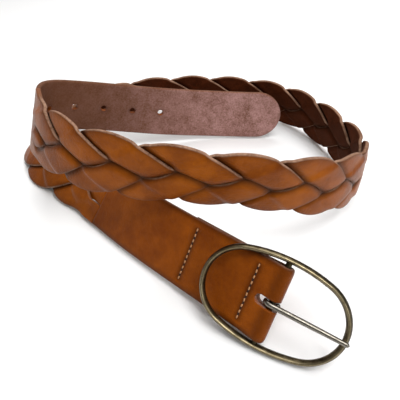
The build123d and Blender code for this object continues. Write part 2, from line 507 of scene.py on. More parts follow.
def hide_grain_group() -> Tree:
    """Tone and relief of dyed full-grain leather: clouds of dye, pores and fine creases."""
    nodes = Nodes.group(
        "hide_grain", "ShaderNodeTree",
        {"Place": "Vector", "Cloud size": 45.0, "Pore size": 900.0, "Crease strength": 0.5},
        {"Tone": "Float", "Relief": "Float", "Gloss": "Float"},
    )
    given, result = nodes.source.outputs, nodes.sink.inputs
    place = given["Place"]
    cloud = nodes.noise(place, given["Cloud size"], 5, 0.6)
    fine = nodes.noise(place, 320.0, 4, 0.6)
    pores = nodes.cells(place, given["Pore size"], 6.0)
    bend = nodes.add("ShaderNodeTexNoise", {"Vector": place, "Scale": 120.0}).outputs["Color"]
    shift = nodes.add("ShaderNodeVectorMath", {0: bend, "Scale": 0.008}, operation="SCALE").outputs[0]
    warped = nodes.add("ShaderNodeVectorMath", {0: place, 1: shift}, operation="ADD").outputs[0]
    smooth = nodes.cells(warped, 130.0, 9.0)
    sunk = nodes.math("MULTIPLY", nodes.math("SUBTRACT", 1.0, smooth), given["Crease strength"])
    relief = nodes.math("SUBTRACT", nodes.math("MULTIPLY", pores, 0.35), sunk)
    tone = nodes.math("MULTIPLY_ADD", cloud, 2.2, -0.6, clamp=True)
    speck = nodes.math("MULTIPLY", nodes.math("SUBTRACT", fine, 0.5), 0.5)
    nodes.feed(result["Tone"], nodes.math("ADD", tone, speck, clamp=True))
    nodes.feed(result["Relief"], nodes.math("ADD", relief, nodes.math("MULTIPLY", fine, 0.7)))
    nodes.feed(result["Gloss"], fine)
    return nodes.tree


def suede_group() -> Tree:
    """Tone and relief of rough flesh-side leather: matted fibres and nap."""
    nodes = Nodes.group(
        "suede_nap", "ShaderNodeTree",
        {"Place": "Vector", "Fibre size": 700.0}, {"Tone": "Float", "Relief": "Float"},
    )
    given, result = nodes.source.outputs, nodes.sink.inputs
    nap = nodes.noise(given["Place"], given["Fibre size"], 6, 0.75)
    cloud = nodes.noise(given["Place"], 70.0, 6, 0.7)
    tone = nodes.math("ADD", nodes.math("MULTIPLY", nap, 2.0), nodes.math("MULTIPLY", cloud, 1.8))
    nodes.feed(result["Tone"], nodes.math("SUBTRACT", tone, 1.3, clamp=True))
    nodes.feed(result["Relief"], nodes.math("ADD", nap, cloud))
    return nodes.tree


def patina_group() -> Tree:
    """Rubbed and tarnished metal: a mask that is bright where hands and straps rub it."""
    nodes = Nodes.group(
        "rubbed_patina", "ShaderNodeTree",
        {"Place": "Vector", "Rub": 0.0, "Blotch size": 260.0}, {"Bright": "Float", "Relief": "Float"},
    )
    given, result = nodes.source.outputs, nodes.sink.inputs
    blotch = nodes.noise(given["Place"], given["Blotch size"], 5, 0.65)
    fine = nodes.noise(given["Place"], 1500.0, 3, 0.6)
    uneven = nodes.math("MULTIPLY", nodes.math("SUBTRACT", blotch, 0.5), 1.3)
    nodes.feed(result["Bright"], nodes.math("ADD", given["Rub"], uneven, clamp=True))
    nodes.feed(result["Relief"], nodes.math("ADD", blotch, nodes.math("MULTIPLY", fine, 0.4)))
    return nodes.tree


# ---- finishes
class Finish:
    """A material that a finish has begun, with its nodes and its shader."""

    def __init__(self, name: str) -> None:
        """Starts the material."""
        self.material = bpy.data.materials.new(name)
        self.material.use_nodes = True
        self.nodes = Nodes(self.material.node_tree)
        self.shader = self.material.node_tree.nodes["Principled BSDF"]

    def set(self, **values: object) -> Material:
        """Feeds the shader's inputs, named with underscores for spaces, and gives the material."""
        for label, value in values.items():
            self.nodes.feed(self.shader.inputs[label.replace("_", " ")], value)
        return self.material

    def mask(self, mask: Mask) -> Socket:
        """A point attribute's value."""
        return self.nodes.add("ShaderNodeAttribute", attribute_name=mask.value).outputs["Fac"]

    def pattern(self, group: Tree, **inputs: object) -> dict[str, Socket]:
        """A shared group's outputs, laid on the piece's own coordinates."""
        place = self.nodes.add("ShaderNodeTexCoord").outputs["Object"]
        fed = {label.replace("_", " "): value for label, value in inputs.items()}
        return self.nodes.add("ShaderNodeGroup", {"Place": place, **fed}, node_tree=group).outputs


@dataclass(frozen=True)
class LeatherFinish:
    """A dyed and burnished grain side over a rough flesh side."""

    name: str
    light: Colour = (0.28, 0.066, 0.003)
    dark: Colour = (0.135, 0.026, 0.0015)
    # Near-black colour of the painted shade in creases and holes.
    crease: Colour = (0.022, 0.005, 0.002)
    # Colour of burnished edges, also used for painted shade under strands, round the fold and along the sewn
    # rows.
    burnish: Colour = (0.055, 0.011, 0.001)
    edge: Colour = (0.20, 0.105, 0.070)
    flesh_light: Colour = (0.47, 0.265, 0.245)
    flesh_dark: Colour = (0.105, 0.038, 0.014)
    sheen_tint: Colour = (1.0, 0.60, 0.22)
    coat_tint: Colour = (1.0, 0.84, 0.66)
    roughness: float = 0.25
    roughness_spread: float = 0.22
    flesh_roughness: float = 0.5
    coat: float = 0.06
    crease_strength: float = 0.35
    mask_share: float = 0.85
    nap_height: float = 2.2

    def build(self, grain: Tree, suede: Tree) -> Material:
        """Makes the material.

        Args:
            grain: Group for the grain side.
            suede: Group for the flesh side.

        Returns:
            The material.
        """
        finish = Finish(self.name)
        nodes = finish.nodes
        edge, flesh, crease, shade = (finish.mask(mask) for mask in Mask)
        hide = finish.pattern(grain, Crease_strength=self.crease_strength)
        nap = finish.pattern(suede)
        raw = nodes.math("MULTIPLY", edge, self.mask_share)
        # The shade mask also darkens the flesh side: painted shade under strands, and on the tail partly a
        # stain, partly painted shade.
        clear_of_burnish_and_shade = nodes.math("SUBTRACT", 1.0, shade, clamp=True)
        suede_colour = nodes.mix(
            nodes.math("MULTIPLY", nap["Tone"], clear_of_burnish_and_shade), self.flesh_dark, self.flesh_light)
        colour = nodes.mix(hide["Tone"], self.dark, self.light)
        # Painted shade and burnish: the shade mask pulls the grain towards the burnish colour.
        colour = nodes.mix(shade, colour, self.burnish)
        colour = nodes.mix(flesh, colour, suede_colour)
        colour = nodes.mix(raw, colour, nodes.mix(nap["Tone"], self.burnish, self.edge))
        # Painted shade: the crease mask pulls the colour towards near-black.
        colour = nodes.mix(nodes.math("MULTIPLY", crease, self.mask_share), colour, self.crease)
        rough = nodes.math("MAXIMUM", flesh, raw)
        smooth = nodes.math("SUBTRACT", 1.0, rough, clamp=True)
        polish = nodes.math("MULTIPLY_ADD", hide["Gloss"], self.roughness_spread, self.roughness)
        worn = nodes.math("MULTIPLY", rough, self.flesh_roughness)
        nap_relief = nodes.math("MULTIPLY", nap["Relief"], self.nap_height)
        height = nodes.add("ShaderNodeMix", {0: rough, 2: hide["Relief"], 3: nap_relief}, data_type="FLOAT")
        return finish.set(
            Base_Color=colour,
            Roughness=nodes.math("ADD", polish, worn, clamp=True),
            Specular_IOR_Level=0.15,
            Specular_Tint=self.sheen_tint,
            Coat_Weight=nodes.math("MULTIPLY", smooth, self.coat),
            Coat_Roughness=0.3,
            Coat_Tint=self.coat_tint,
            Normal=nodes.bump(height.outputs[0], 0.45, 0.5 * MM),
        )


@dataclass(frozen=True)
class MetalFinish:
    """Cast or drawn metal, tarnished in its hollows and bright where it is rubbed."""

    name: str
    bright: Colour
    dull: Colour
    bright_roughness: float = 0.24
    dull_roughness: float = 0.46

    def build(self, patina: Tree) -> Material:
        """Makes the material.

        Args:
            patina: Group that says where the metal is bright.

        Returns:
            The material.
        """
        finish = Finish(self.name)
        nodes = finish.nodes
        worn = finish.pattern(patina, Rub=finish.mask(Mask.SHADE))
        spread = self.bright_roughness - self.dull_roughness
        return finish.set(
            Base_Color=nodes.mix(worn["Bright"], self.dull, self.bright),
            Metallic=1.0,
            Roughness=nodes.math("MULTIPLY_ADD", worn["Bright"], spread, self.dull_roughness),
            Normal=nodes.bump(worn["Relief"], 0.25, 0.3 * MM),
        )


@dataclass(frozen=True)
class PlainFinish:
    """One even colour, for thread, the painted shade of an awl hole and the floor."""

    name: str
    colour: Colour
    roughness: float

    def build(self) -> Material:
        """Makes the material."""
        return Finish(self.name).set(Base_Color=self.colour, Roughness=self.roughness)


@dataclass
class Finishes:
    """Every material of the belt."""

    strap: Material
    braid: Material
    brass: Material
    steel: Material
    thread: Material
    # Near-black painted shade for the awl holes.
    awl_hole_shade: Material


def make_finishes() -> Finishes:
    """Builds the shared groups once and the materials on them."""
    grain, suede, patina = hide_grain_group(), suede_group(), patina_group()
    braid = LeatherFinish(
        "cognac_braid_leather", light=(0.36, 0.092, 0.004), dark=(0.155, 0.031, 0.001),
        flesh_light=(0.085, 0.018, 0.006), flesh_dark=(0.030, 0.006, 0.002), edge=(0.42, 0.26, 0.18),
    )
    brass = MetalFinish("aged_brass", bright=(0.30, 0.245, 0.145), dull=(0.040, 0.031, 0.016))
    steel = MetalFinish("aged_nickel_wire", bright=(0.24, 0.22, 0.185), dull=(0.070, 0.062, 0.050))
    return Finishes(
        strap=LeatherFinish("cognac_strap_leather").build(grain, suede),
        braid=braid.build(grain, suede),
        brass=brass.build(patina),
        steel=steel.build(patina),
        thread=PlainFinish("waxed_tan_thread", (0.45, 0.22, 0.09), 0.55).build(),
        # The awl holes' material is near-black painted shade.
        awl_hole_shade=PlainFinish("awl_hole_painted_shade", (0.012, 0.005, 0.003), 0.9).build(),
    )


def dress(
    piece: Piece, material: Material | None, body: str, nodes: tuple[str, ...]
) -> None:
    """Gives a piece its material, its body and the CAD nodes that it stands for.

    Args:
        piece: The finished piece.
        material: Its material, or nothing if its tree has set it.
        body: The CAD body that it moves with.
        nodes: CAD nodes that it replaces.
    """
    if material is not None:
        piece.data.materials.clear()
        piece.data.materials.append(material)
    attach(piece, body)
    if nodes:
        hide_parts(*nodes)
    LOG.info("%s: %d faces on body %s", piece.name, len(piece.data.polygons), body)


# ---- the braid
@dataclass
class Braid:
    """Three strands, pressed flat over and under each other, each with a crowned grain side."""

    belt: Belt
    route: Route
    strand_width: float = 18.6 * MM
    thickness: float = 3.3 * MM
    corner: float = 0.9 * MM
    crown: float = 0.75 * MM
    flesh_crown: float = 0.3
    waver: float = 0.35 * MM
    # How far the painted shade beside a covering strand fades.
    crease_shade_fade: float = 2.0 * MM
    drape: float = 5.5 * MM
    section_step: float = 1.4 * MM
    slit: float = 0.3 * MM

    @property
    def swing(self) -> float:
        """How far a strand's middle swings to each side."""
        return (self.belt.width - self.strand_width) / 2

    def turn(self, strand: int, distance: Array) -> Array:
        """A strand's place in its cycle across the strap, in radians."""
        belt = self.belt
        run = np.clip(distance - belt.braid_start, 0, belt.braid_length)
        eased_in = run * run / (2 * belt.ease)
        eased_out = belt.braid_length - belt.ease - (belt.braid_length - run) ** 2 / (2 * belt.ease)
        late = np.where(run > belt.braid_length - belt.ease, eased_out, run - belt.ease / 2)
        run = np.where(run < belt.ease, eased_in, late)
        wave = belt.braid_pitch * 3
        return 2 * math.pi * (strand / 3 - 0.25 - (run - belt.braid_lobes * belt.braid_pitch) / wave)

    def shares(self, distance: Array) -> tuple[Array, Array]:
        """How far the strands have risen out of the strap, and how far they have begun to cross."""
        belt = self.belt
        from_slit = np.minimum(distance - belt.bar_to_slit, belt.slit_end - distance) / belt.merge
        return smooth_step(from_slit / 0.6), smooth_step((from_slit - 0.45) / 0.55)

    def lane(self, strand: int, distance: Array) -> tuple[Array, Array]:
        """A strand's middle across the strap and its half width there."""
        turn = self.turn(strand, distance)
        crossing = self.shares(distance)[1]
        slant = self.swing * np.sin(turn) * 2 * math.pi / (3 * self.belt.braid_pitch) * crossing
        lane = np.round(np.cos(turn) / math.cos(math.pi / 6)) * self.belt.width / 3
        middle = self.swing * np.cos(turn) * crossing + lane * (1 - crossing)
        plain = (self.belt.width / 3 - self.slit) / 2
        half = self.strand_width / 2 * np.sqrt(1 + slant**2) * crossing + plain * (1 - crossing)
        return middle, half

    def beside(self, strand: int, distance: Array, across: Array) -> Array:
        """How far points lie outside a strand's edges, negative within it."""
        middle, half = self.lane(strand, distance)
        return np.abs(across - middle[:, None]) - half[:, None]

    def cover(self, strand: int, distance: Array, across: Array) -> Array:
        """How fully a strand lies over or under points: 1 within it, falling to 0 beside it."""
        return smooth_step(1 - self.beside(strand, distance, across) / self.drape)

    def build_strand(self, strand: int, material: Material) -> None:
        """Makes one strand and dresses it.

        Args:
            strand: Number of the strand, from 0.
            material: Its material.
        """
        belt = self.belt
        count = int((belt.slit_end - belt.bar_to_slit) / self.section_step)
        distance = np.linspace(belt.bar_to_slit, belt.slit_end, count)
        ring = Ring(self.thickness, self.corner, flat_points=17)
        middle, half = self.lane(strand, distance)
        rising, crossing = self.shares(distance)
        offset = ring.across(half)
        waver = self.waver * np.sin(distance * 97 + strand * 2.1)[:, None] * crossing[:, None]
        across = middle[:, None] + offset * (1 + waver / self.strand_width)
        above = self.cover((strand + 1) % 3, distance, across)
        below = self.cover((strand - 1) % 3, distance, across)
        press = self.thickness / 2 * (below - above) * rising[:, None]
        share = np.abs(offset) / half[:, None]
        dome = self.crown * (0.35 - share**2.6) * crossing[:, None]
        thinned = np.where(ring.on_grain, dome, -dome * self.flesh_crown)
        thickness_share = 1 + (belt.leather / self.thickness - 1) * (1 - rising[:, None])
        outward = ring.rise[None, :] * thickness_share + press + thinned
        edge = ring.masks()[0]
        # Painted shade along the edges of the strands that lie on each face.
        grain_crease_shade = self.crease_shade_beside((strand + 1) % 3, distance, across)
        flesh_crease_shade = self.crease_shade_beside((strand - 1) % 3, distance, across)
        crease = np.where(ring.on_grain, grain_crease_shade, flesh_crease_shade) * crossing[:, None] * (1 - edge)
        # Darker towards the strand's own edges, plus painted shade where the next strand lies over it.
        burnish = np.clip(share**5 * 0.75 + above * 0.35, 0, 1) * crossing[:, None]
        middle, _, top, out = self.route.section(distance)
        piece = ribbon(
            f"braid_strand_{strand + 1}", ring, (middle, top, out), across, outward,
            0.35 + 0.65 * crossing[:, None], crease, burnish,
        )
        dress(piece, material, "root", (f"strand_{strand + 1}",))

    def crease_shade_beside(self, strand: int, distance: Array, across: Array) -> Array:
        """Painted shade along the edge of a strand that covers points: 1 at and under it, then fading."""
        return np.exp(-np.clip(self.beside(strand, distance, across), 0, None) / self.crease_shade_fade)


# ---- the buckle end of the strap
@dataclass
class BuckleEnd:
    """Plain strap folded round the bar, with the tab sewn down behind it and the prong's slot."""

    belt: Belt
    route: Route
    corner: float = 1.2 * MM
    step: float = 1.3 * MM
    slot_width: float = 5.8 * MM
    slot_reach: float = 9 * MM
    row_sink: float = 0.32 * MM
    row_spread: float = 1.5 * MM
    # How far the painted shade along each sewn row spreads.
    row_shade_spread: float = 2.2 * MM
    # How far the painted shade round the fold reaches.
    fold_shade_reach: float = 6 * MM
    tab_end: float = 1.2 * MM
    skive_length: float = 14 * MM

    def axes(self) -> tuple[Array, Array, Array, Array]:
        """The bar's middle, and unit vectors towards the tail, the top edge and out of the grain."""
        origin, along, top, out = (v[0] for v in self.route.section(np.array([0.0])))
        return origin - out * self.belt.leather / 2, along, top, out

    def fold_path(self) -> tuple[Array, Array]:
        """Middle of the leather from the tab's end, round the bar and out along the strap.

        Returns:
            Points towards the tail and out of the grain, from the bar, and the thickness at each.
        """
        belt = self.belt
        bore = belt.bar_radius + belt.running_clearance
        radius = bore + belt.fold_leather / 2
        turn = math.acos(bore / belt.fold_run)
        tab = -belt.tab_gap - belt.fold_leather / 2
        angles = np.linspace(-turn, turn - 2 * math.pi, 25)
        arc = np.stack([radius * np.cos(angles), radius * np.sin(angles)], 1)
        knots = np.concatenate([
            [[belt.tab_length, tab], [belt.fold_run, tab]], arc,
            [[belt.fold_run, belt.leather / 2], [belt.tab_length + 8 * MM, belt.leather / 2]],
        ])
        lengths = run_along(knots)
        count = int(lengths[-1] / (0.5 * MM))
        run = np.linspace(0, lengths[-1], count)
        path = np.stack([np.interp(run, lengths, knots[:, i]) for i in range(2)], 1)
        kernel = np.hanning(7)
        kernel /= kernel.sum()
        padded = np.pad(path, ((3, 3), (0, 0)), mode="reflect", reflect_type="odd")
        path = np.stack([np.convolve(padded[:, i], kernel, "valid") for i in range(2)], 1)
        end_of_fold = lengths[-3]
        full = smooth_step((run - end_of_fold) / (lengths[-2] - end_of_fold))
        thickness = belt.fold_leather + (belt.leather - belt.fold_leather) * full
        skived = self.tab_end + (thickness - self.tab_end) * smooth_step(run / self.skive_length)
        thickness = np.where(run < self.skive_length, skived, thickness)
        return path, thickness

    def sections(self) -> tuple[Array, Array, Array, Array, Array]:
        """Cross planes all along the leather, from the tab's end to the slits.

        Returns:
            Middle points, top vectors, outward vectors, thicknesses, and distances along the
            strap from the bar, negative on the tab.
        """
        belt = self.belt
        bar, tailward, top, out = self.axes()
        path, thickness = self.fold_path()
        tangent = unit(np.gradient(path, axis=0))
        every = 2
        path, tangent, thickness = path[::every], tangent[::every], thickness[::every]
        folded = bar + path[:, :1] * tailward + path[:, 1:] * out
        normals = -tangent[:, 1:] * tailward + tangent[:, :1] * out
        start = belt.tab_length + 9 * MM
        distance = np.linspace(start, belt.bar_to_slit, int((belt.bar_to_slit - start) / self.step))
        origin, _, strap_top, strap_out = self.route.section(distance)
        tops = np.concatenate([np.repeat(top[None], len(folded), 0), strap_top])
        points = np.concatenate([folded, origin])
        outs = np.concatenate([normals, strap_out])
        thick = np.concatenate([thickness, np.full(len(distance), belt.leather)])
        grain_up = tangent[:, 0] > 0
        run = np.concatenate([np.where(grain_up, path[:, 0], -path[:, 0]), distance])
        return points, tops, outs, thick, run

    def build(self, material: Material) -> None:
        """Makes the piece, cuts the slot and dresses it."""
        belt = self.belt
        points, tops, outs, thick, run = self.sections()
        ring = Ring(belt.leather, self.corner, flat_points=33)
        half = np.full(len(run), belt.width / 2)
        across = ring.across(half)
        share = np.abs(across) / (belt.width / 2)
        stitched = smooth_step((0.82 - share) / 0.08)
        sink = np.zeros_like(across)
        burnish = np.clip(smooth_step((share - 0.80) / 0.2) * 0.8, 0, 1)
        for row in Row:
            from_row = run[:, None] - row.value
            sink -= self.row_sink * np.exp(-((from_row / self.row_spread) ** 2)) * stitched
            # Painted shade along the sunk grain of each sewn row.
            row_shade = np.exp(-((from_row / self.row_shade_spread) ** 2))
            burnish = np.maximum(burnish, row_shade * stitched * 0.85)
        # Painted shade round the fold at the bar.
        fold_shade = smooth_step((self.fold_shade_reach - np.abs(run[:, None])) / self.fold_shade_reach) * 0.55
        sag = -0.25 * MM * smooth_step((share - 0.86) / 0.14)
        outward = ring.rise[None, :] * thick[:, None] / belt.leather
        outward = outward + np.where(ring.on_grain, sink + sag, 0)
        piece = ribbon(
            "folded_buckle_strap", ring, (points, tops, outs), across, outward,
            STRAP_EDGE, 0 * across, np.maximum(burnish, fold_shade),
        )
        cut(piece, [self.slot_cutter()])
        dress(piece, material, "root", ("buckle_end_strap",))

    def slot_cutter(self) -> Piece:
        """Tool for the prong's slot, through both layers and out past the fold."""
        bar, tailward, top, out = self.axes()
        belt = self.belt
        fold = belt.bar_radius + belt.running_clearance + belt.fold_leather
        length = self.slot_reach + fold + self.slot_width
        middle = bar + tailward * (self.slot_reach - length / 2)
        outline = stadium(length, self.slot_width)
        return cutter("slot_tool", outline, (tailward, top, -out, middle), fold * 2)


# ---- the tail
@dataclass
class Tail:
    """Plain strap with five punched holes and a round tip."""

    belt: Belt
    route: Route
    corner: float = 1.2 * MM
    step: float = 1.3 * MM
    # How far from the slits the flesh side is darkened, partly as a stain and partly as painted shade.
    stain_and_shade_length: float = 225 * MM
    edge_sag: float = 3 * MM
    edge_stain: float = 4 * MM
    rim_width: float = 0.9 * MM

    def hole_places(self) -> Array:
        """Distances of the holes from the bar."""
        belt = self.belt
        return belt.slit_end + belt.slit_to_hole + np.arange(belt.hole_count) * belt.hole_pitch

    def build(self, material: Material) -> None:
        """Makes the piece, punches the holes and dresses it."""
        belt = self.belt
        radius = belt.width / 2
        tip_start = belt.tip - radius
        straight = np.linspace(belt.slit_end, tip_start, int((tip_start - belt.slit_end) / self.step))
        turns = np.linspace(0, math.pi / 2 * 0.985, 40)[1:]
        distance = np.concatenate([straight, tip_start + radius * np.sin(turns)])
        half = np.concatenate([np.full(len(straight), radius), radius * np.cos(turns)])
        ring = Ring(belt.leather, self.corner, flat_points=33)
        across = ring.across(half)
        outward = np.broadcast_to(ring.rise[None, :], across.shape).copy()
        to_edge = np.minimum(half[:, None] - np.abs(across), belt.tip - distance[:, None])
        sag = -0.3 * MM * smooth_step(1 - to_edge / self.edge_sag)
        outward += np.where(ring.on_grain, sag, -sag * 0.6)
        crease = np.zeros_like(across)
        for place in self.hole_places():
            apart = np.hypot(distance[:, None] - place, across) - belt.hole_radius
            rim = np.exp(-np.clip(apart, 0, None) / self.rim_width)
            outward -= 0.35 * MM * rim * np.where(ring.on_grain, 1, 0.5)
            # Painted shade in the dimpled rim round each hole.
            crease = np.maximum(crease, rim * 0.55)
        burnish = smooth_step(1 - to_edge / self.edge_stain) * np.where(ring.on_grain, 0.7, 0.25)
        # The flesh side darkens towards the slits: partly a stain, partly painted shade.
        from_slits = (belt.slit_end - distance) / self.stain_and_shade_length
        stained_and_shaded = smooth_step((1 + from_slits) * 1.25)[:, None]
        burnish = np.maximum(burnish, np.where(ring.on_grain, 0, 0.85) * stained_and_shaded)
        middle, _, top, out = self.route.section(distance)
        piece = ribbon(
            "punched_tail", ring, (middle, top, out), across, outward, STRAP_EDGE, crease, burnish)
        cut(piece, [self.punch(i, place) for i, place in enumerate(self.hole_places())])
        dress(piece, material, "root", ("tail_strap",))

    def punch(self, number: int, place: float) -> Piece:
        """Round punch for one hole."""
        middle, along, top, out = (v[0] for v in self.route.section(np.array([place])))
        turns = np.linspace(0, 2 * math.pi, 29)[:-1]
        radius = self.belt.hole_radius
        outline = [(radius * math.cos(t), radius * math.sin(t)) for t in turns]
        return cutter(f"punch_{number}", outline, (top, along, out, middle), self.belt.leather * 2)


# ---- the sewn rows
@dataclass
class SewnRow:
    """A row of separate stitches through strap and tab, made by Geometry Nodes."""

    row: Row
    buckle_end: BuckleEnd
    count: int = 10
    pitch: float = 3.6 * MM
    stitch_length: float = 2.5 * MM
    thread_radius: float = 0.48 * MM
    hole_radius: float = 0.62 * MM
    hole_flatness: float = 0.25
    slackness: tuple[float, float, float] = (0.04, 0.04, 0.14)
    seed: int = 7

    def stitch(self, nodes: Nodes) -> Socket:
        """Adds one stitch, a bow of thread between two awl holes, along x.

        Args:
            nodes: The row's tree.

        Returns:
            The stitch's geometry, with the holes marked by a face attribute.
        """
        given = nodes.source.outputs
        right = nodes.math("MULTIPLY", given["Stitch length"], 0.5)
        left = nodes.math("MULTIPLY", right, -1.0)
        deep = nodes.math("MULTIPLY", given["Thread radius"], -1.6)
        proud = nodes.math("MULTIPLY", given["Thread radius"], 1.9)
        bow = {
            "Resolution": 10, "Start": nodes.point(left, deep),
            "Middle": nodes.point(None, proud), "End": nodes.point(right, deep),
        }
        line = nodes.add("GeometryNodeCurveQuadraticBezier", bow).outputs[0]
        round_thread = {"Resolution": 8, "Radius": given["Thread radius"]}
        profile = nodes.add("GeometryNodeCurvePrimitiveCircle", round_thread).outputs[0]
        sweep = {"Curve": line, "Profile Curve": profile, "Fill Caps": True}
        thread = nodes.add("GeometryNodeCurveToMesh", sweep)
        stitch = nodes.add("GeometryNodeJoinGeometry", {0: thread.outputs[0]})
        # Each awl hole is a flattened ball, painted dark as shade.
        for x in (left, right):
            ball = {"Segments": 12, "Rings": 6, "Radius": given["Hole radius"]}
            flat = nodes.add("GeometryNodeTransform", {
                "Geometry": nodes.add("GeometryNodeMeshUVSphere", ball).outputs[0],
                "Translation": nodes.point(x, None), "Scale": (1.0, 1.0, self.hole_flatness),
            })
            mark = {"Geometry": flat.outputs[0], "Name": AWL_SHADE_MARK, "Value": True}
            marked = nodes.add("GeometryNodeStoreNamedAttribute", mark, data_type="BOOLEAN", domain="FACE")
            nodes.feed(stitch.inputs[0], marked.outputs[0])
        return stitch.outputs[0]

    def tree(self, finishes: Finishes) -> Tree:
        """Builds the tree that sews the row on the strap's face and on the tab's.

        Args:
            finishes: Materials of the thread and of the holes that it goes into.

        Returns:
            The tree, with named inputs for the row's sizes.
        """
        nodes = Nodes.group(
            f"sew_{self.row.name.lower()}_row", "GeometryNodeTree",
            {"Geometry": "Geometry", "First stitch": "Vector", "Step along row": "Vector", "Turn": "Vector",
             "Through both layers": "Vector", "Stitch length": 0.0, "Thread radius": 0.0, "Hole radius": 0.0,
             "Stitch count": "Int"},
            {"Geometry": "Geometry"},
        )
        given = nodes.source.outputs
        stitch = self.stitch(nodes)
        line = nodes.add("GeometryNodeMeshLine", {
            "Count": given["Stitch count"], "Start Location": given["First stitch"],
            "Offset": given["Step along row"],
        }).outputs[0]
        least = tuple(-turn for turn in self.slackness)
        loose = nodes.add("FunctionNodeRandomValue", data_type="FLOAT_VECTOR")
        for key, value in ((0, least), (1, self.slackness), ("Seed", self.seed)):
            nodes.feed(loose.inputs[key], value)
        both = nodes.add("GeometryNodeJoinGeometry")
        for flip, move in ((0.0, (0.0, 0.0, 0.0)), (math.pi, given["Through both layers"])):
            placed = nodes.add("GeometryNodeInstanceOnPoints", {"Points": line, "Instance": stitch})
            for rotation in (given["Turn"], (flip, 0.0, 0.0), loose.outputs[0]):
                inputs = {"Instances": placed.outputs[0], "Rotation": rotation, "Local Space": True}
                placed = nodes.add("GeometryNodeRotateInstances", inputs)
            inputs = {"Instances": placed.outputs[0], "Translation": move, "Local Space": False}
            nodes.feed(both.inputs[0], nodes.add("GeometryNodeTranslateInstances", inputs).outputs[0])
        real = nodes.add("GeometryNodeRealizeInstances", {0: both.outputs[0]})
        in_thread = {"Geometry": real.outputs[0], "Material": finishes.thread}
        sewn = nodes.add("GeometryNodeSetMaterial", in_thread)
        # The awl holes take the near-black painted-shade material.
        is_hole = nodes.add("GeometryNodeInputNamedAttribute", {"Name": AWL_SHADE_MARK}, data_type="BOOLEAN")
        pierced = nodes.add("GeometryNodeSetMaterial", {
            "Geometry": sewn.outputs[0], "Selection": is_hole.outputs[0], "Material": finishes.awl_hole_shade,
        })
        nodes.feed(nodes.sink.inputs[0], pierced.outputs[0])
        return nodes.tree

    def build(self, finishes: Finishes) -> None:
        """Sews the row on its strap and dresses it."""
        belt = self.buckle_end.belt
        bar, tailward, top, out = (Vector(v) for v in self.buckle_end.axes())
        sunk = self.buckle_end.row_sink
        first = bar + tailward * self.row.value + out * (belt.leather - sunk)
        first -= top * self.pitch * (self.count - 1) / 2
        turn = Matrix((top, out.cross(top), out)).transposed().to_euler()
        behind = out * -(belt.leather - sunk + belt.tab_gap + belt.fold_leather)
        piece = linked_mesh(f"stitches_{self.row.name.lower()}", [], [], {})
        modifier = piece.modifiers.new("sewing", "NODES")
        modifier.node_group = self.tree(finishes)
        values = {
            "First stitch": first, "Step along row": top * self.pitch, "Turn": Vector(turn),
            "Through both layers": behind, "Stitch length": self.stitch_length,
            "Thread radius": self.thread_radius, "Hole radius": self.hole_radius, "Stitch count": self.count,
        }
        for item in modifier.node_group.interface.items_tree:
            if item.in_out == "INPUT" and item.name in values:
                modifier[item.identifier] = values[item.name]
        settle(piece, [])
        piece.data.attributes.remove(piece.data.attributes[AWL_SHADE_MARK])
        piece.data.polygons.foreach_set("use_smooth", [True] * len(piece.data.polygons))
        dress(piece, None, "root", (f"stitch_row_{self.row.name.lower()}",))


